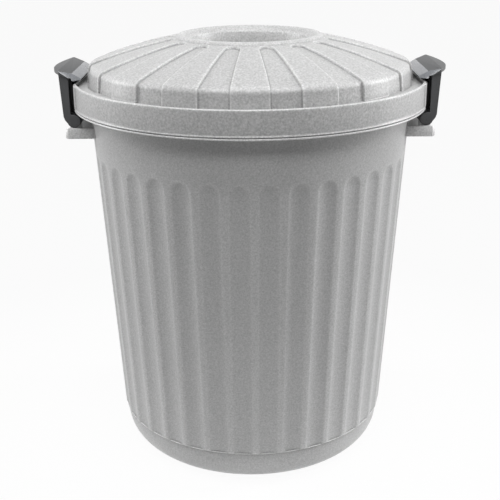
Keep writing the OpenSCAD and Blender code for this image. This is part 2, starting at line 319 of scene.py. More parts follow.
def point_outwards(piece):
    """Merges doubles and turns the faces outwards."""
    pick(piece)
    bpy.ops.object.mode_set(mode="EDIT")
    bpy.ops.mesh.select_all(action="SELECT")
    bpy.ops.mesh.remove_doubles(threshold=MERGE)
    bpy.ops.mesh.normals_make_consistent(inside=False)
    bpy.ops.object.mode_set(mode="OBJECT")


def smooth(piece, degrees):
    """Smooth shading that keeps edges sharper than the given angle."""
    pick(piece)
    bpy.ops.object.shade_smooth_by_angle(angle=math.radians(degrees))


def block(low, high, bevel):
    """A block between two corners in millimetres, with rounded edges."""
    start_clean()
    mid = [(a + b) / 2 * MM for a, b in zip(low, high)]
    bpy.ops.mesh.primitive_cube_add(size=1, location=mid)
    piece = bpy.context.object
    piece.scale = [(b - a) * MM for a, b in zip(low, high)]
    bpy.ops.object.transform_apply(location=True, rotation=True, scale=True)
    round_edges(piece, bevel, 2, 30)
    return piece


def prism_y(points, y0, y1, bevel, segments=2):
    """A side outline of (x, z) points in millimetres, drawn out along Y, with rounded edges."""
    start_clean()
    bpy.ops.mesh.primitive_circle_add(
        vertices=len(points), radius=0.01, fill_type="NGON", location=(0, 0, 0)
    )
    piece = bpy.context.object
    bpy.ops.object.mode_set(mode="EDIT")
    here = [v.co.copy() for v in bmesh.from_edit_mesh(piece.data).verts]
    for k, (x, z) in enumerate(points):
        select_verts(lambda i, co: i == k)
        goal = Vector((x * MM, y0 * MM, z * MM))
        bpy.ops.transform.translate(value=goal - here[k])
    bpy.ops.mesh.select_all(action="SELECT")
    bpy.ops.mesh.extrude_region_move(
        TRANSFORM_OT_translate={"value": (0, (y1 - y0) * MM, 0)}
    )
    bpy.ops.mesh.select_all(action="SELECT")
    bpy.ops.mesh.normals_make_consistent(inside=False)
    bpy.ops.object.mode_set(mode="OBJECT")
    if bevel > 0:
        round_edges(piece, bevel, segments, 25)
    return piece


def round_edges(piece, width, segments, degrees):
    """Rounds the edges that are sharper than the angle, by a width in millimetres."""
    m = piece.modifiers.new("round", "BEVEL")
    m.width = width * MM
    m.segments = segments
    m.limit_method = "ANGLE"
    m.angle_limit = math.radians(degrees)
    apply_all(piece)


def combine(piece, cutter, way):
    """Cuts the piece with the cutter, which goes afterwards."""
    m = piece.modifiers.new("cut", "BOOLEAN")
    m.operation = way
    m.object = cutter
    apply_all(piece)
    bpy.data.objects.remove(cutter)


def turned_cube(point, turn, size):
    """A cube that stands with the middle of its foot on a point, turned there, in degrees."""
    start_clean()
    bpy.ops.mesh.primitive_cube_add(size=size * MM, location=(0, 0, 0))
    cube = bpy.context.object
    cube.rotation_euler = [math.radians(a) for a in turn]
    up = cube.rotation_euler.to_matrix() @ Vector((0, 0, size / 2))
    cube.location = (Vector(point) + up) * MM
    return cube


def rod_y(x, z, radius, y0, y1, verts, bevel=0.4):
    """A round rod along Y, in millimetres, with rounded ends."""
    start_clean()
    bpy.ops.mesh.primitive_cylinder_add(
        vertices=verts,
        radius=radius * MM,
        depth=abs(y1 - y0) * MM,
        location=(x * MM, (y0 + y1) / 2 * MM, z * MM),
        rotation=(math.pi / 2, 0, 0),
    )
    piece = bpy.context.object
    bpy.ops.object.transform_apply(location=True, rotation=True, scale=True)
    round_edges(piece, bevel, 2, 40)
    return piece


def joined(name, parts):
    """One piece made of the parts."""
    start_clean()
    for p in parts:
        p.select_set(True)
    bpy.context.view_layer.objects.active = parts[0]
    bpy.ops.object.join()
    piece = bpy.context.object
    piece.name = name
    piece.data.name = name
    bpy.ops.object.transform_apply(location=True, rotation=True, scale=True)
    return piece


def turned_copy(piece, name):
    """A copy turned half round the bin axis, with its own mesh."""
    pick(piece)
    bpy.ops.object.duplicate(linked=False)
    copy = bpy.context.object
    copy.name = name
    copy.data.name = name
    copy.rotation_euler = (0, 0, math.pi)
    bpy.ops.object.transform_apply(location=True, rotation=True, scale=True)
    return copy


# Places shared by the pieces, in millimetres and degrees

GUTTER_DEPTH = 4.3
BAND_HEIGHT = 31.5
BAND_INSET = 0.8
MOUTH_INSET = 18.7
MOUTH_GAP = 0.3
PLAIN_ZONE = 92.0
FLUTE_LOW = 50.0
PAD_ANGLE = 14.5
HINGE_OUT = 1.8
HINGE_DOWN = 47.8
SHOULDER_INSET = 22.5
DOME_R = 570.0
DOME_RISE = 19.7


def places():
    """Radii, heights and distances that several pieces share."""
    s = bpy.context.scene.bin_sizes
    p = {}
    p["lid_r"] = s.lid_radius / MM
    p["rim"] = s.rim_height / MM
    p["wall"] = s.wall / MM
    p["gutter"] = p["rim"] - GUTTER_DEPTH
    p["band_low"] = p["rim"] - BAND_HEIGHT
    p["band_r"] = p["lid_r"] - BAND_INSET
    p["low"] = s.cone_low / MM
    p["slope"] = (p["lid_r"] - MOUTH_INSET - p["low"]) / p["rim"]
    p["mouth"] = p["gutter"] - p["wall"] - MOUTH_GAP
    p["flute_top"] = p["rim"] - PLAIN_ZONE
    p["pad_x"] = p["lid_r"] * math.cos(math.radians(PAD_ANGLE))
    p["pad_half"] = p["lid_r"] * math.sin(math.radians(PAD_ANGLE))
    p["hinge_x"] = p["pad_x"] + HINGE_OUT
    p["hinge_z"] = p["rim"] - HINGE_DOWN
    p["shoulder_r"] = p["lid_r"] - SHOULDER_INSET
    p["dome_z"] = p["rim"] + DOME_RISE - math.sqrt(DOME_R**2 - p["shoulder_r"] ** 2)
    return p


def cone(p, z):
    """Radius of the crests at height z."""
    return p["low"] + p["slope"] * z


def dome(p, r, inset=0.0):
    """Height of the dome, or of a dome inset by a distance, at radius r."""
    return p["dome_z"] + math.sqrt((DOME_R - inset) ** 2 - r * r)


def flatten(x, test):
    """Presses flat, on either side, each place that passes the test and stands out past x."""
    for side in (-1, 1):
        select_verts(lambda i, co: co.x * side > x * MM and test(co))
        bpy.ops.transform.resize(value=(0, 1, 1), center_override=(side * x * MM, 0, 0))


def flatten_row(r, z, x):
    """Presses the row at (r, z) flat where it stands out past x."""

    def on_row(co):
        return abs(co.z - z * MM) < NEAR and abs(math.hypot(co.x, co.y) - r * MM) < NEAR

    flatten(x, on_row)


# The bucket, in millimetres

FOOT_INSET = 2.9
CORNER_R = 40.0
FLOOR_RISE = 5.0
FLOOR_R = 112.0
FLANGE_THICK = 2.7
FLANGE_GAP = 0.7
MOUTH_BEAD = 2.6
CREST_ROUND = 0.3
SHELF_DOWN = 14.2
SHELF_OUT = 13.3
SHELF_THICK = 2.7
SHELF_RIB = (18.7, 21.6)
SKIRT_DROP = 7.7
EAR_RISE = 5.9
EAR_THICK = 2.9
ROOT_SUNK = 1.4
LUG_R, LUG_Y = 6.5, (34, 38)
PIN_R, PIN_Y = 3.0, (37.6, 47)


def foot_r(p, z):
    """Radius of the plain foot band at height z."""
    return cone(p, z) - FOOT_INSET


def inner_r(p, z):
    """Radius of the inside of the wall at height z."""
    return cone(p, z) - p["wall"]


def bucket_rows(p):
    """Rows of the bucket section, from under the floor, up outside and down inside."""
    w = p["wall"]
    lean = math.degrees(math.atan(p["slope"]))
    corner = foot_r(p, CORNER_R) - CORNER_R / math.cos(math.radians(lean))
    top = p["flute_top"]
    # step round the raised floor, and the round corner
    rows = [(114.5, 1.6), (116.2, 0.4), (118, 0), (128, 0), (corner, 0)]
    rows += arc(corner, CORNER_R, CORNER_R, -90, -lean, 14)
    # plain foot band, and the ring where the flutes begin
    rows += [(foot_r(p, 44), 44), (foot_r(p, 47.6), 47.6), (foot_r(p, 48.6) + 0.15, 48.6)]
    rows += [(foot_r(p, 49.3) + 0.9, 49.3), (cone(p, 49.8) - 0.9, 49.8)]
    rows += [(cone(p, 50.4) - 0.2, 50.4)]
    # fluted wall, with close rows where the flutes end
    rows += [(cone(p, z), z) for z in (51.4, 54, 70, 120, 200, 280, 340, 380, 392, 398)]
    rows += [(cone(p, top - 15 + 1.05 * k), top - 15 + 1.05 * k) for k in range(17)]
    # plain zone and flange
    under = p["band_low"] - FLANGE_GAP - FLANGE_THICK
    rows += [(cone(p, z), z) for z in (top + 6, top + 15, top + 30, under - 4)]
    rows += [(cone(p, under - 1.0) + 0.25, under - 1.0), (cone(p, under) + 1.2, under)]
    nose = FLANGE_THICK / 2
    rim = p["lid_r"] - nose
    rows += [(215, under), (222, under), (rim - 2, under), (rim, under)]
    rows += arc(rim, under + nose, nose, -90, 90, 6)
    up = under + FLANGE_THICK
    rows += [(rim - 3, up), (218, up), (cone(p, up) + 1.0, up), (cone(p, up + 1), up + 1)]
    # neck and bead of the mouth
    bead = p["mouth"] - MOUTH_BEAD
    rows += [(cone(p, bead - 8), bead - 8), (cone(p, bead - 3.2), bead - 3.2)]
    rows += arc(cone(p, bead), bead, MOUTH_BEAD, -80, 180, 12)
    # inside, down to the floor
    rows += [(inner_r(p, z), z) for z in (bead - 6, under, top + 30, top + 12, top + 4)]
    rows += [(inner_r(p, top + 2 - 2.1 * k), top + 2 - 2.1 * k) for k in range(9)]
    rows += [(inner_r(p, z), z) for z in (390, 370, 300, 220, 120, 70, 56, 53)]
    rows += [(foot_r(p, 51) - w + 0.3, 51.4), (foot_r(p, 50) - w, 50)]
    rows += arc(corner, CORNER_R, CORNER_R - w, -lean, -90, 10)
    rows += [(120, w), (117.5, w + 0.6), (114.5, w + 3.6)]
    rows += [(FLOOR_R, FLOOR_RISE + w - 0.4), (110, FLOOR_RISE + w)]
    return rows


def flute_sink(p, sizes, co):
    """How deep a place on the wall is sunk below the cone, in millimetres.

    Each flute is the hollow of a round-ended cylinder, and each crest between two flutes
    is a little rounded."""
    z = co.z / MM
    if z > p["flute_top"] or z < FLUTE_LOW - 0.1:
        return 0.0
    r = radius_of(co)
    pitch = 2 * math.pi / sizes.flutes
    a = abs(angle_of(co, sizes.flute_turn, pitch))
    half = sizes.flute_width / MM / 2
    depth = sizes.flute_depth / MM
    hollow = (half * half + depth * depth) / (2 * depth)
    crest = pitch * r / 2 - half
    across = pitch * r / 2 - a * r
    cap = p["flute_top"] - half
    away = math.hypot(across, z - cap) if z > cap else across
    round_off = CREST_ROUND * ease((p["flute_top"] - z) / 22)
    if away < half:
        return round_off + math.sqrt(hollow**2 - away**2) - (hollow - depth)
    return round_off * min(a * r / crest, 1.0) ** 2


class BIN_OT_bucket(bpy.types.Operator):
    """Models the fluted bucket with its rim and the two clip shelves"""

    bl_idname = "bin.bucket"
    bl_label = "Fluted bucket"

    def execute(self, context):
        s = context.scene.bin_sizes
        p = places()
        flutes = s.flutes
        # columns of one flute, in tenths of its pitch, closest at the edges of the crest
        half = [0, 0.55, 0.95, 1.2, 1.45, 1.75, 2.3, 3.1, 4.0]
        angles = half + [5.0] + [10 - a for a in reversed(half[1:])]
        angles = [a * 36 / flutes for a in angles]
        first = (FLOOR_R, FLOOR_RISE)
        shell = open_ring("bucket_shell", flutes * len(angles), *first)
        place_columns(flutes, angles)
        turn_about_axis(math.degrees(s.flute_turn))
        bpy.ops.mesh.region_to_loop()
        draw_rows(bucket_rows(p), first)
        bpy.ops.mesh.edge_face_add()
        # the flange is flat below the pads of the lid
        low = p["band_low"] - 4.5
        high = p["band_low"] - 0.4
        flatten(p["pad_x"], lambda co: low * MM < co.z < high * MM)
        bpy.ops.object.mode_set(mode="OBJECT")
        # at the radius `reach`, a weight of 1 sinks a place by `deepest`, both in metres
        deepest, reach = 3.0 * MM, 0.2
        weight_by(
            shell,
            "flutes",
            lambda co: flute_sink(p, s, co) * MM / deepest * reach / math.hypot(co.x, co.y),
        )
        draw_inwards(shell, "flutes", deepest / reach)
        apply_all(shell)
        point_outwards(shell)
        shell.vertex_groups.clear()
        smooth(shell, 40)
        shelves = [self.shelf(p, side) for side in (1, -1)]
        piece = joined("bucket_shell", [shell] + shelves)
        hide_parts("bucket")
        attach(piece, "bucket_body")
        return {"FINISHED"}

    def shelf(self, p, side):
        """The shelf with two lugs and their stub pins, for the clip of one side."""
        top = p["hinge_z"] - SHELF_DOWN
        low = top - SKIRT_DROP
        high = top + EAR_RISE
        end = p["pad_half"]
        full = end + EAR_THICK
        out = p["pad_x"] + SHELF_OUT
        root = math.sqrt((cone(p, top) - ROOT_SUNK) ** 2 - full * full)
        corner, thick, proud = 4.0, SHELF_THICK, 0.03
        parts = []
        plan = [(root, -full), (out - corner, -full), (out, -full + corner)]
        plan += [(x, -y) for x, y in reversed(plan)]
        # plate, a little inside the skirt so that no two faces coincide
        within = [(x - 0.5, y * (1 - 0.5 / full)) for x, y in plan]
        parts.append(self.prism_z(within, top - thick, top - 0.05, 0))
        # skirt along the outer edge, bevelled at the corners
        skirt = plan[1:-1]
        skirt += [(x - thick, y * (full - thick) / full) for x, y in reversed(plan[1:-1])]
        parts.append(self.prism_z(skirt, low, top, 0.5))
        for s in (-1, 1):
            # end wall, which stands a hair outside the skirt
            ear = [
                (root, s * (full + proud)),
                (out - corner + proud, s * (full + proud)),
                (out - corner + EAR_THICK + proud, s * end),
                (root, s * end),
            ]
            parts.append(self.prism_z(ear, low - proud, high, 0.7))
            # lug with its stub pin
            y0, y1 = sorted(s * y for y in LUG_Y)
            lug = [(p["hinge_x"] - LUG_R, top - 0.5), (p["hinge_x"] + LUG_R, top - 0.5)]
            lug += arc(p["hinge_x"], p["hinge_z"], LUG_R, -11.25, 180, 17)
            parts.append(prism_y(lug, y0, y1, 0.4))
            y0, y1 = (s * y for y in PIN_Y)
            parts.append(rod_y(p["hinge_x"], p["hinge_z"], PIN_R, y0, y1, 32))
            # rib under the shelf
            y0, y1 = sorted(s * y for y in SHELF_RIB)
            parts.append(block((cone(p, low) - 4, y0, low), (out - 2, y1, top - 2), 0.3))
        shelf = joined("shelf", parts)
        smooth(shelf, 30)
        if side < 0:
            turned = turned_copy(shelf, "shelf_turned")
            bpy.data.objects.remove(shelf)
            return turned
        return shelf

    def prism_z(self, plan, low, high, bevel):
        """A plan outline of (x, y) points in millimetres, drawn up from low to high."""
        piece = prism_y(plan, 0, high - low, 0)
        pick(piece)
        bpy.ops.object.mode_set(mode="EDIT")
        bpy.ops.mesh.select_all(action="SELECT")
        # the outline lies in XZ: it is turned up so that its depth becomes its height
        bpy.ops.transform.rotate(value=math.pi / 2, orient_axis="X", center_override=(0, 0, 0))
        bpy.ops.object.mode_set(mode="OBJECT")
        lowest = min(v.co.z for v in piece.data.vertices)
        return self.seated(piece, plan, low - lowest / MM, bevel)

    def seated(self, piece, plan, lift, bevel):
        """Lifts the prism to its height and puts its outline the right way round."""
        bpy.ops.object.mode_set(mode="EDIT")
        first = Vector((plan[0][0] * MM, plan[0][1] * MM))
        near = min((v.co.xy - first).length for v in piece.data.vertices)
        if near > TINY:
            bpy.ops.transform.resize(value=(1, -1, 1), center_override=(0, 0, 0))
        bpy.ops.transform.translate(value=(0, 0, lift * MM))
        bpy.ops.mesh.normals_make_consistent(inside=False)
        bpy.ops.object.mode_set(mode="OBJECT")
        if bevel > 0:
            round_edges(piece, bevel, 2, 25)
        return piece


# The lid, in millimetres and degrees

MIDDLE_R = 20.0
LIP_C, LIP_R = 89.0, 8.5
LIP_RISE = 2.79
DISH_DEPTH = 25.0
CHANNEL_IN, CHANNEL_DEG = 98.0, 10.1
SHOULDER_LEAN = 0.8
SHOULDER_OUT = 2.8
SHOULDER_ROUND = 10.0
UNDER_LEAN = 1.3
RIM_BEAD = 1.8
BAND_BEAD = 1.1
FILLET = 1.2
RING_DEPTH = 12.0


def dish_heights(p):
    """Heights of the middle of the lip's round, its crest and the dish."""
    lip_z = dome(p, LIP_C) + LIP_RISE - LIP_R
    crest = lip_z + LIP_R
    return lip_z, crest, crest - DISH_DEPTH


def lid_outside(p):
    """Rows of the lid section seen from above, from the dish out to the foot of the band."""
    lip_z, crest, dish_z = dish_heights(p)
    # dish, the slope inside its lip, and the lip
    rows = [(40, dish_z), (68, dish_z), (73.2, dish_z)]
    rows += arc(74.6, dish_z + 2.6, 2.6, -80, -12, 5)
    rows += [(78.4, dish_z + 7), (79.6, crest - 8.4), (79.9, crest - 7.4), (80.5, crest - 6.6)]
    rows += [(82.5, crest - 4.6), (84.5, crest - 2.6), (86.2, crest - 1.2), (87.0, crest - 0.6)]
    rows += arc(LIP_C, lip_z, LIP_R, 101, 36, 9)
    # dome, with close rows where the channels begin
    rows += [(96.6, dome(p, 96.6) + 0.25), (97.4, dome(p, 97.4) + 0.05)]
    rows += [(98.2 + 1.1 * k, dome(p, 98.2 + 1.1 * k)) for k in range(14)]
    wall_r = p["shoulder_r"] + SHOULDER_OUT
    edge = wall_r - SHOULDER_LEAN
    rows += [(r, dome(p, r)) for r in (118, 130, 145, 160, 175, 190, 197, 201)]
    # round of the shoulder, and its wall down to the gutter
    c = SHOULDER_ROUND
    middle = dome(p, edge - c, c)
    rows += arc(edge - c, middle, c, 72, 2, 12)
    low, foot = p["gutter"], wall_r + SHOULDER_LEAN
    rows += [(foot - 0.7, low + 9), (foot - 0.2, low + 2.4)]
    rows += arc(foot + FILLET, low + FILLET, FILLET, 186, 270, 3)
    # gutter, and the rolled rim
    inner = p["band_r"] - p["wall"]
    rows += [(foot + 3, low), (inner - 8.5, low), (inner - FILLET, low)]
    rows += arc(inner - FILLET, low + FILLET, FILLET, -90, 0, 3)
    rows += [(inner, p["rim"] - 2 * RIM_BEAD - 0.2)]
    rows += arc(p["band_r"] - RIM_BEAD, p["rim"] - RIM_BEAD, RIM_BEAD, 200, 0, 12)
    # band, and the bead at its foot
    foot = p["band_low"]
    rows += [(p["band_r"], z) for z in (p["rim"] - 4, p["rim"] - 14, foot + 5, foot + 2.6)]
    rows += arc(p["lid_r"] - BAND_BEAD, foot + BAND_BEAD, BAND_BEAD, 80, -90, 6)
    return rows


def lid_inside(p):
    """Rows of the lid section seen from below, from the foot of the band in to the dish."""
    w = p["wall"]
    inner = p["band_r"] - w
    under = p["gutter"] - w
    # inside of the band
    rows = [(inner + 0.6, p["band_low"]), (inner, p["band_low"] + 0.6)]
    rows += [(inner, p["band_low"] + 12), (inner, under - FILLET)]
    rows += arc(inner - FILLET, under - FILLET, FILLET, 0, 90, 3)
    # ring that centres the lid in the mouth
    ring_low = under - RING_DEPTH
    ring_out = cone(p, ring_low) - w - 1
    ring_in = ring_out - w
    rows += [(ring_out + 6, under), (ring_out + 0.8, under), (ring_out, under - 0.8)]
    rows += [(ring_out, ring_low + 1), (ring_out - 0.7, ring_low), (ring_in + 0.7, ring_low)]
    rows += [(ring_in, ring_low + 0.7), (ring_in, under + 0.6)]
    # shoulder and dome from below
    edge = p["shoulder_r"] - w
    rows += [(edge - 0.5, under + 1.2), (edge, under + 1.8), (edge, p["gutter"] + 8)]
    lean = p["shoulder_r"] - UNDER_LEAN - w
    rows += [(lean, dome(p, lean, w) - 2.6), (lean - 0.8, dome(p, lean, w) - 0.9)]
    rows += [(lean - 3, dome(p, lean - 3, w))]
    rows += [(r, dome(p, r, w)) for r in (198, 190, 175, 160, 145, 130, 118, 113)]
    rows += [(111 - 2.4 * k, dome(p, 111 - 2.4 * k, w)) for k in range(6)]
    rows += [(96.4, dome(p, 96.4, w)), (LIP_C + LIP_R - w, dome(p, 96.4, w))]
    # lip and dish from below
    lip_z, _, dish_z = dish_heights(p)
    rows += arc(LIP_C, lip_z, LIP_R - w, 20, 110, 6)
    rows += [(84.4, lip_z + 3.4), (82.9, lip_z + 0.6)]
    rows += [(81.2, dish_z + 7), (80.0, dish_z + 0.4), (78.6, dish_z - 1.6), (76, dish_z - w)]
    rows += [(50, dish_z - w), (MIDDLE_R, dish_z - w)]
    return rows


def channel_amount(count, co):
    """How far a place on the dome or shoulder is sunk into a channel, from 0 to 1."""
    r = radius_of(co)
    pitch = 2 * math.pi / count
    a = angle_of(co, pitch / 2, pitch)
    half_a = math.radians(CHANNEL_DEG / 2)
    centre = CHANNEL_IN / (1 - math.sin(half_a))
    x, y = r * math.cos(a), r * abs(math.sin(a))
    if x < centre:
        d = centre * math.tan(half_a) - math.hypot(x - centre, y)
    else:
        d = x * math.sin(half_a) - y * math.cos(half_a)
    return ease((d + 0.7) / 1.4)


class BIN_OT_lid(bpy.types.Operator):
    """Models the domed lid with its dish, panels, gutter, rim and band"""

    bl_idname = "bin.lid"
    bl_label = "Domed lid"

    def execute(self, context):
        s = context.scene.bin_sizes
        p = places()
        # columns of one panel and one channel, in degrees: the closest are at the channel's
        # sides, and two more end the raised strips
        edge = 11.25 - CHANNEL_DEG / 2
        half = [0, 1.6, 3.2, 4.05, 4.2, 4.9, edge - 0.7, edge - 0.36, edge - 0.12, edge + 0.12]
        half += [edge + 0.36, edge + 0.7, 8.0, 8.8, 10.0]
        angles = half + [11.25] + [22.5 - a for a in reversed(half[1:])]
        outside, inside = lid_outside(p), lid_inside(p)
        first = (MIDDLE_R, outside[0][1])
        piece = open_ring("lid_shell", s.panels * len(angles), *first)
        place_columns(s.panels, [a * 16 / s.panels for a in angles])
        bpy.ops.mesh.region_to_loop()
        draw_rows(outside + inside, first)
        bpy.ops.mesh.edge_face_add()
        for r, z in outside + inside:
            past = p["band_r"] - r
            if past < 8:
                flatten_row(r, z, p["pad_x"] - max(past, 0))
        self.raise_strips(p)
        bpy.ops.object.mode_set(mode="OBJECT")
        point_outwards(piece)
        self.sink_channels(piece, p, s)
        smooth(piece, 40)
        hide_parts("lid")
        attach(piece, "lid_body")
        return {"FINISHED"}

    def raise_strips(self, p):
        """Raises the upright strip of the band at each end of both pads."""

        def beside_pad(i, co):
            away = math.degrees(math.atan2(abs(co.y), abs(co.x)))
            flush = abs(math.hypot(co.x, co.y) - p["band_r"] * MM) < NEAR
            return flush and 14.4 < away < 18.35

        select_verts(beside_pad)
        grow = p["lid_r"] / p["band_r"]
        bpy.ops.transform.resize(value=(grow, grow, 1), center_override=(0, 0, 0))

    def sink_channels(self, piece, p, sizes):
        """Sinks the channels into the dome along its normals and into the shoulder wall."""
        # the wall begins a little below the edge of the dome
        seam = dome(p, p["shoulder_r"]) - 6

        def on_dome(co, inside):
            r, z = radius_of(co), co.z / MM
            if z < seam or r < LIP_C + LIP_R - 2.7:
                return 0.0
            deep = z < dome(p, min(r, p["shoulder_r"])) - 1.4 and r < p["shoulder_r"] - 3.8
            return channel_amount(sizes.panels, co) if deep == inside else 0.0

        def on_wall(co):
            r, z = radius_of(co), co.z / MM
            if z >= seam or z < p["gutter"] - 0.7 or abs(r - p["shoulder_r"] - 1.4) > 4.2:
                return 0.0
            return channel_amount(sizes.panels, co)

        weight_by(piece, "dome_top", lambda co: on_dome(co, False))
        weight_by(piece, "dome_under", lambda co: on_dome(co, True))
        weight_by(piece, "shoulder", on_wall)
        for name, way in (("dome_top", -1), ("dome_under", 1)):
            sink = piece.modifiers.new(name, "DISPLACE")
            sink.strength = way * sizes.channel_depth
            sink.mid_level = 0
            sink.vertex_group = name
        draw_inwards(piece, "shoulder", sizes.channel_depth / (p["shoulder_r"] * MM))
        apply_all(piece)
        piece.vertex_groups.clear()


# The clips, in millimetres and degrees

CLIP_GAP = 0.6
STRAP_IN = 5.5
STRAP_THICK = 8.8
STRAP_LEAN = 3.4
CREST_RISE = 16.8
PLATE_FALL = 16.3
PLATE_THICK = 5.0
PLATE_WIDER = 3.4
HOOK_IN = 10.2
HOOK_BEVEL = 12.0
HOOK_LIP = 10.6
HOOK_CORNER = 9.5
HOOK_LIFT = 4.0
THUMB_OUT = 30.8
THUMB_SAG = 14.5
KNUCKLE_R = 8.4
RIB_Y = 19.0
LUG_SLOT = (33.3, 38.7)


def plate_top(p, x):
    """Height of the top of the hook plate at x, which falls from the strap to the hook."""
    strap_top = p["pad_x"] + STRAP_IN + STRAP_THICK + STRAP_LEAN
    crest = p["rim"] + CREST_RISE
    return crest - (strap_top - x) * math.tan(math.radians(PLATE_FALL))


class BIN_OT_clips(bpy.types.Operator):
    """Models the right clip and turns a copy of it for the left"""

    bl_idname = "bin.clips"
    bl_label = "Clips"

    def execute(self, context):
        p = places()
        right = self.clip(p)
        left = turned_copy(right, "clip_left_shell")
        for piece, side in ((right, "right"), (left, "left")):
            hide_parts("clip_" + side)
            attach(piece, "clip_" + side + "_body")
        return {"FINISHED"}

    def clip(self, p):
        """The right clip, with its strap, knuckle, ribs and hook plate."""
        hx, hz = p["hinge_x"], p["hinge_z"]
        half = p["pad_half"] - CLIP_GAP
        inner = p["pad_x"] + STRAP_IN
        outer = inner + STRAP_THICK
        top = outer + STRAP_LEAN
        parts = []

        def low(x):
            """How high the strap reaches into the plate at x."""
            return plate_top(p, x) - 4.0

        # end cheeks of the strap
        cheek = [
            (hx - 1, hz + KNUCKLE_R),
            (inner, hz + KNUCKLE_R),
            (inner, low(inner)),
            (top, low(top)),
            (outer + 0.4, hz + 6),
            (outer - 1.2, hz + 1.4),
            (hx + 4.6, hz - 6.9),
            (hx - 1, hz - 3),
        ]
        for s in (-1, 1):
            y0, y1 = sorted((s * half, s * (half - 3.6)))
            parts.append(prism_y(cheek, y0, y1, 0.8, 3))
        # web between the cheeks
        web = [
            (outer - 3.4, hz + 7.6),
            (top - 3.8, low(top - 3.8)),
            (top - 0.5, low(top - 0.5)),
            (outer - 0.1, hz + 6),
            (outer - 0.4, hz + 7.6),
        ]
        parts.append(prism_y(web, -half + 0.6, half - 0.6, 0.5))
        # foot and knuckle in three widths round the lug slots
        foot = [
            (hx, hz + 8.2),
            (outer - 3.8, hz + 8.2),
            (outer - 0.2, hz + 8.0),
            (outer - 0.5, hz + 3.0),
            (hx + 4.0, hz - 7.2),
            (hx, hz - 8.0),
        ]
        near, far = LUG_SLOT
        for y0, y1 in ((-half + 0.4, -far), (-near, near), (far, half - 0.4)):
            parts.append(prism_y(foot, y0, y1, 0.6))
            y0 -= 0.3 * (y0 < -50)
            y1 += 0.3 * (y1 > 50)
            parts.append(rod_y(hx, hz, KNUCKLE_R, y0, y1, 64, 0.7))
        # ribs inside the strap
        rib = [
            (inner + 2.6, hz + 5),
            (inner + 2.6, low(inner + 2.6)),
            (outer, low(outer)),
            (outer - 1, hz + 5),
        ]
        for y in (-RIB_Y, RIB_Y):
            parts.append(prism_y(rib, y - 1.3, y + 1.3, 0.4))
        parts.append(self.plate(p, top))
        piece = joined("clip_right_shell", parts)
        smooth(piece, 30)
        return piece

    def plate(self, p, strap_top):
        """The hook plate, with its curved thumb edge, its bevelled lip and its bevelled corners."""
        half = p["pad_half"] + PLATE_WIDER
        hook = p["pad_x"] - HOOK_IN
        thumb = p["pad_x"] + THUMB_OUT
        crest = p["rim"] + CREST_RISE
        thumb_z = crest - 1.6
        ridge = hook + HOOK_BEVEL
        lip = p["rim"] + HOOK_LIFT
        outline = [
            (thumb, thumb_z),
            (strap_top, crest),
            (ridge, plate_top(p, ridge)),
            (hook, lip + 1.4),
            (hook + 0.5, lip),
            (hook + HOOK_LIP, lip),
            (ridge, plate_top(p, ridge) - PLATE_THICK),
            (strap_top, crest - PLATE_THICK),
            (thumb, thumb_z - 3.6),
        ]
        plate = prism_y(outline, -half, half, 0)
        # curve of the thumb edge
        arc_r = (half * half + THUMB_SAG * THUMB_SAG) / (2 * THUMB_SAG)
        start_clean()
        bpy.ops.mesh.primitive_cylinder_add(
            vertices=288,
            radius=arc_r * MM,
            depth=60 * MM,
            location=((thumb - arc_r) * MM, 0, crest * MM),
        )
        combine(plate, bpy.context.object, "INTERSECT")
        # bevelled corners of the hook
        for s in (-1, 1):
            corner = turned_cube((hook + HOOK_CORNER, s * half, lip), (0, 44, s * 135), 2 * half)
            combine(plate, corner, "DIFFERENCE")
        point_outwards(plate)
        round_edges(plate, 0.5, 3, 14)
        return plate


# Finishes

# Roughness, grain per metre, speckle, bump, and the strength of the painted highlight on raised
# edges and painted shade in creases, of each plastic
PLASTICS = {
    "bucket_plastic": (0.36, 520, 0.2, 0.15, 0.5),
    "lid_plastic": (0.43, 430, 0.26, 0.35, 0.6),
    "clip_plastic": (0.46, 600, 0.18, 0.25, 0.1),
    "clip_bevel_painted_sheen": (0.2, 600, 0.18, 0.1, 0.1),
}
PLASTIC_IOR = 1.6
GRAIN_DEPTH = 0.0004
GRAIN_STOPS = (0.32, 0.68)
SLOW_SCALE = 9
SLOW_SHARE = 0.12
# Pointiness at which the painted crease shade is darkest and the painted edge highlight is
# brightest
CREASE, RIDGE = 0.44, 0.56
SHINIER, DULLER = 0.05, 0.06
# How many times lighter the hook's long bevel is painted than the clip: a painted reflection
BEVEL_PAINTED_SHEEN = 7
BEVEL_FROM = 3.5


def node(tree, kind, place):
    """A shader node at its place in the tree."""
    n = tree.nodes.new(kind)
    n.location = place
    return n


def set_values(n, values):
    """Sets the sockets of a node by their names."""
    for key, value in values.items():
        n.inputs[key].default_value = value


def mixer(tree, place, factor):
    """A node that multiplies one colour by another."""
    n = node(tree, "ShaderNodeMix", place)
    n.data_type = "RGBA"
    n.blend_type = "MULTIPLY"
    n.inputs["Factor"].default_value = factor
    return n


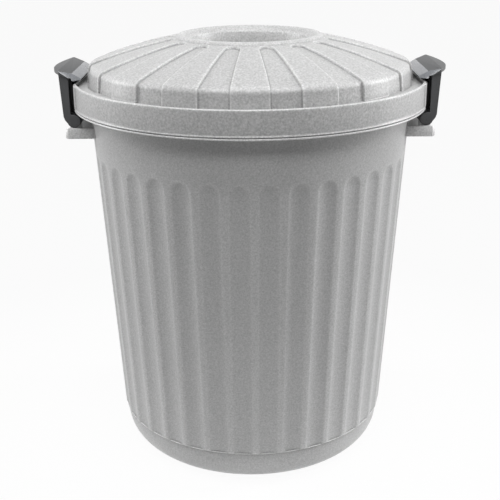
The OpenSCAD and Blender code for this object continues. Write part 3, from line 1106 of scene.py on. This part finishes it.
def moulded_plastic(name, colour):
    """Moulded plastic with a fine grain, a speckle, slow tone changes, a painted highlight on
    raised edges and painted shade in creases.
    """
    roughness, grain, speckle, bump, edge_light_and_crease_shade = PLASTICS[name]
    m = bpy.data.materials.new(name)
    m.use_nodes = True
    t = m.node_tree
    t.nodes.clear()
    out = node(t, "ShaderNodeOutputMaterial", (900, 0))
    skin = node(t, "ShaderNodeBsdfPrincipled", (600, 0))
    set_values(skin, {"IOR": PLASTIC_IOR, "Roughness": roughness})
    at = node(t, "ShaderNodeTexCoord", (-900, 0))
    fine = node(t, "ShaderNodeTexNoise", (-650, 200))
    set_values(fine, {"Scale": grain, "Detail": 3, "Roughness": 0.65})
    slow = node(t, "ShaderNodeTexNoise", (-650, -100))
    set_values(slow, {"Scale": SLOW_SCALE, "Detail": 2})
    ramp = node(t, "ShaderNodeValToRGB", (-400, 200))
    for stop, at_stop, tint in zip(
        ramp.color_ramp.elements, GRAIN_STOPS, (1 - speckle, 1 + speckle)
    ):
        stop.position = at_stop
        stop.color = (*[min(c * tint, 1) for c in colour], 1)
    tone = mixer(t, (-100, 150), SLOW_SHARE)
    # painted highlight and painted shade: raised edges are painted lighter and creases are painted
    # darker
    form = node(t, "ShaderNodeNewGeometry", (-650, 500))
    painted_edge_tone = node(t, "ShaderNodeMapRange", (-400, 500))
    set_values(painted_edge_tone, {"From Min": CREASE, "From Max": RIDGE})
    set_values(painted_edge_tone, {"To Min": 1 - edge_light_and_crease_shade, "To Max": 1 + edge_light_and_crease_shade})
    painted_edge_mix = mixer(t, (100, 300), 1)
    rough = node(t, "ShaderNodeMapRange", (-100, -150))
    set_values(rough, {"To Min": roughness - SHINIER, "To Max": roughness + DULLER})
    dent = node(t, "ShaderNodeBump", (300, -300))
    set_values(dent, {"Strength": bump, "Distance": GRAIN_DEPTH})
    link = t.links.new
    link(at.outputs["Object"], fine.inputs["Vector"])
    link(at.outputs["Object"], slow.inputs["Vector"])
    link(fine.outputs["Fac"], ramp.inputs["Fac"])
    link(ramp.outputs["Color"], tone.inputs["A"])
    link(slow.outputs["Fac"], tone.inputs["B"])
    link(form.outputs["Pointiness"], painted_edge_tone.inputs["Value"])
    link(tone.outputs["Result"], painted_edge_mix.inputs["A"])
    link(painted_edge_tone.outputs["Result"], painted_edge_mix.inputs["B"])
    link(painted_edge_mix.outputs["Result"], skin.inputs["Base Color"])
    link(slow.outputs["Fac"], rough.inputs["Value"])
    link(rough.outputs["Result"], skin.inputs["Roughness"])
    link(fine.outputs["Fac"], dent.inputs["Height"])
    link(dent.outputs["Normal"], skin.inputs["Normal"])
    link(skin.outputs["BSDF"], out.inputs["Surface"])
    return m


def coat(piece, material):
    """Gives the whole piece one material."""
    piece.data.materials.clear()
    piece.data.materials.append(material)
    for f in piece.data.polygons:
        f.material_index = 0


def coat_bevel_sheen(piece, side, low, material):
    """Gives the long bevel of the hook plate its own smoother plastic, painted lighter as a painted
    reflection.
    """
    piece.data.materials.append(material)
    for f in piece.data.polygons:
        # its faces look inwards and up
        sloped = f.normal.x * side < -0.35 and f.normal.z > 0.3
        if sloped and f.center.z > low:
            f.material_index = 1


class BIN_OT_finishes(bpy.types.Operator):
    """Gives every piece and every solid of the frame its moulded plastic"""

    bl_idname = "bin.finishes"
    bl_label = "Finishes"

    def execute(self, context):
        c = context.scene.bin_colours
        bucket = moulded_plastic("bucket_plastic", c.bucket)
        lid = moulded_plastic("lid_plastic", c.lid)
        clip = moulded_plastic("clip_plastic", c.clip)
        # the long bevel of the hook is painted lighter than the clip, a painted reflection
        bevel = moulded_plastic("clip_bevel_painted_sheen", [BEVEL_PAINTED_SHEEN * x for x in c.clip])
        for name, material in (
            ("bucket", bucket),
            ("lid", lid),
            ("clip_left", clip),
            ("clip_right", clip),
        ):
            coat(bpy.data.objects[name + "_shell"], material)
            coat(frame["nodes"][name], material)
        bevel_from = context.scene.bin_sizes.rim_height + BEVEL_FROM * MM
        coat_bevel_sheen(bpy.data.objects["clip_left_shell"], -1, bevel_from, bevel)
        coat_bevel_sheen(bpy.data.objects["clip_right_shell"], 1, bevel_from, bevel)
        return {"FINISHED"}


# The studio, in metres and watts

# Each lamp's name, size, power and place, and the point that it faces
LAMPS = (
    ("top_soft", (1.8, 1.2), 29, (0, -0.45, 2.3), (0, 0, 0.5)),
    ("front_soft", (1.8, 0.6), 21, (0, -1.6, 2.05), (0, 0, 0.35)),
    ("left_soft", (0.6, 1.6), 41, (-2.5, 0.4, 1.1), (0, 0, 0.3)),
    ("right_soft", (0.6, 1.6), 55, (2.5, 0.4, 1.1), (0, 0, 0.3)),
)
WHITE = (1, 1, 1, 1)
SOFT_LIGHT = 0.02
FLOOR_SIZE = 60
FLOOR_WHITE = 0.95
FLOOR_FADE = (0.32, 0.7)
FAR_SHARE = 0.35
FRAME_PIXELS = 500
FOCAL_PIXELS = 961.53
CENTRE_PIXELS = 251.21
SENSOR = 36
CAMERA_PLACE = (0, -1.265, 0.718162)
CAMERA_PITCH = 0.3437
CAMERA_ROLL = -0.0073


def seen_directly(tree):
    """1 for rays from the camera, a gloss or a clear piece, and 0 for the light itself."""
    path = node(tree, "ShaderNodeLightPath", (-700, 200))
    last = path.outputs["Is Camera Ray"]
    for k, name in enumerate(("Is Glossy Ray", "Is Transmission Ray")):
        most = node(tree, "ShaderNodeMath", (-500 + 180 * k, 200))
        most.operation = "MAXIMUM"
        tree.links.new(last, most.inputs[0])
        tree.links.new(path.outputs[name], most.inputs[1])
        last = most.outputs["Value"]
    return last


def lamp(name, size, power, place, aim):
    """A soft rectangular lamp that faces a point."""
    data = bpy.data.lights.new(name, "AREA")
    data.shape = "RECTANGLE"
    data.size, data.size_y = size
    data.energy = power
    obj = bpy.data.objects.new(name, data)
    bpy.context.scene.collection.objects.link(obj)
    obj.location = place
    way = Vector(aim) - Vector(place)
    obj.rotation_euler = way.to_track_quat("-Z", "Y").to_euler()


class BIN_OT_stage(bpy.types.Operator):
    """Sets up the pale floor, the soft light and the camera"""

    bl_idname = "bin.stage"
    bl_label = "Stage"

    def execute(self, context):
        self.floor(context)
        self.light(context)
        self.camera(context)
        context.scene.view_settings.view_transform = "Standard"
        return {"FINISHED"}

    def floor(self, context):
        """The floor: white to the camera, and darker to the light away from the bin."""
        start_clean()
        bpy.ops.mesh.primitive_plane_add(size=FLOOR_SIZE, location=(0, 0, 0))
        floor = bpy.context.object
        floor.name = "studio_floor"
        m = bpy.data.materials.new("floor_paint")
        m.use_nodes = True
        t = m.node_tree
        t.nodes.clear()
        out = node(t, "ShaderNodeOutputMaterial", (600, 0))
        matt = node(t, "ShaderNodeBsdfDiffuse", (0, 100))
        at = node(t, "ShaderNodeTexCoord", (-900, 100))
        away = node(t, "ShaderNodeVectorMath", (-700, 0))
        away.operation = "LENGTH"
        fade = node(t, "ShaderNodeMapRange", (-500, 0))
        set_values(fade, {"From Min": FLOOR_FADE[0], "From Max": FLOOR_FADE[1]})
        paint = node(t, "ShaderNodeMix", (-250, 100))
        paint.data_type = "RGBA"
        colour = context.scene.bin_colours.floor
        far = [c * FAR_SHARE for c in colour]
        set_values(paint, {"A": (*colour, 1), "B": (*far, 1)})
        t.links.new(at.outputs["Object"], away.inputs[0])
        t.links.new(away.outputs["Value"], fade.inputs["Value"])
        t.links.new(fade.outputs["Result"], paint.inputs["Factor"])
        t.links.new(paint.outputs["Result"], matt.inputs["Color"])
        white = node(t, "ShaderNodeEmission", (0, -100))
        set_values(white, {"Color": WHITE, "Strength": 1})
        share = node(t, "ShaderNodeMath", (0, 300))
        share.operation = "MULTIPLY"
        share.inputs[1].default_value = FLOOR_WHITE
        pick = node(t, "ShaderNodeMixShader", (300, 0))
        t.links.new(seen_directly(t), share.inputs[0])
        t.links.new(share.outputs["Value"], pick.inputs["Fac"])
        t.links.new(matt.outputs["BSDF"], pick.inputs[1])
        t.links.new(white.outputs["Emission"], pick.inputs[2])
        t.links.new(pick.outputs["Shader"], out.inputs["Surface"])
        floor.data.materials.append(m)

    def light(self, context):
        """The world, which is white only where it is seen, and the lamps."""
        world = bpy.data.worlds.new("studio")
        context.scene.world = world
        world.use_nodes = True
        t = world.node_tree
        t.nodes.clear()
        out = node(t, "ShaderNodeOutputWorld", (600, 0))
        soft = node(t, "ShaderNodeBackground", (0, 100))
        set_values(soft, {"Color": WHITE, "Strength": SOFT_LIGHT})
        white = node(t, "ShaderNodeBackground", (0, -100))
        set_values(white, {"Color": WHITE, "Strength": 1})
        pick = node(t, "ShaderNodeMixShader", (300, 0))
        t.links.new(seen_directly(t), pick.inputs["Fac"])
        t.links.new(soft.outputs["Background"], pick.inputs[1])
        t.links.new(white.outputs["Background"], pick.inputs[2])
        t.links.new(pick.outputs["Shader"], out.inputs["Surface"])
        for setting in LAMPS:
            lamp(*setting)

    def camera(self, context):
        """The camera, at the angle from which the bin is shown."""
        data = bpy.data.cameras.new("photo_camera")
        camera = bpy.data.objects.new("photo_camera", data)
        context.scene.collection.objects.link(camera)
        context.scene.camera = camera
        pitch, roll = CAMERA_PITCH, CAMERA_ROLL
        data.sensor_fit = "AUTO"
        data.sensor_width = SENSOR
        data.lens = FOCAL_PIXELS / FRAME_PIXELS * SENSOR
        data.shift_x = (FRAME_PIXELS / 2 - CENTRE_PIXELS) / FRAME_PIXELS
        ahead = Vector((0, math.cos(pitch), -math.sin(pitch)))
        right0 = Vector((1, 0, 0))
        up0 = Vector((0, math.sin(pitch), math.cos(pitch)))
        right = right0 * math.cos(roll) + up0 * math.sin(roll)
        up = up0 * math.cos(roll) - right0 * math.sin(roll)
        m = Matrix.Identity(4)
        for k, axis in enumerate((right, up, -ahead)):
            for row in range(3):
                m[row][k] = axis[row]
        m.translation = Vector(CAMERA_PLACE)
        camera.matrix_world = m


class BIN_PT_panel(bpy.types.Panel):
    """Lists the steps that build the bin"""

    bl_label = "Lidded bin"
    bl_idname = "BIN_PT_panel"
    bl_space_type = "VIEW_3D"
    bl_region_type = "UI"
    bl_category = "Bin"

    def draw(self, context):
        layout = self.layout
        for group in (context.scene.bin_sizes, context.scene.bin_colours):
            box = layout.box()
            for key in group.__annotations__:
                box.prop(group, key)
        for step in STEPS:
            layout.operator(step.bl_idname)


STEPS = (BIN_OT_bucket, BIN_OT_lid, BIN_OT_clips, BIN_OT_finishes, BIN_OT_stage)
CLASSES = (BinSizes, BinColours) + STEPS + (BIN_PT_panel,)


def register():
    for c in CLASSES:
        bpy.utils.register_class(c)
    bpy.types.Scene.bin_sizes = bpy.props.PointerProperty(type=BinSizes)
    bpy.types.Scene.bin_colours = bpy.props.PointerProperty(type=BinColours)


def unregister():
    del bpy.types.Scene.bin_colours
    del bpy.types.Scene.bin_sizes
    for c in reversed(CLASSES):
        bpy.utils.unregister_class(c)


def main():
    register()
    bpy.ops.bin.bucket()
    bpy.ops.bin.lid()
    bpy.ops.bin.clips()
    bpy.ops.bin.finishes()
    bpy.ops.bin.stage()


if __name__ == "__main__":
    main()
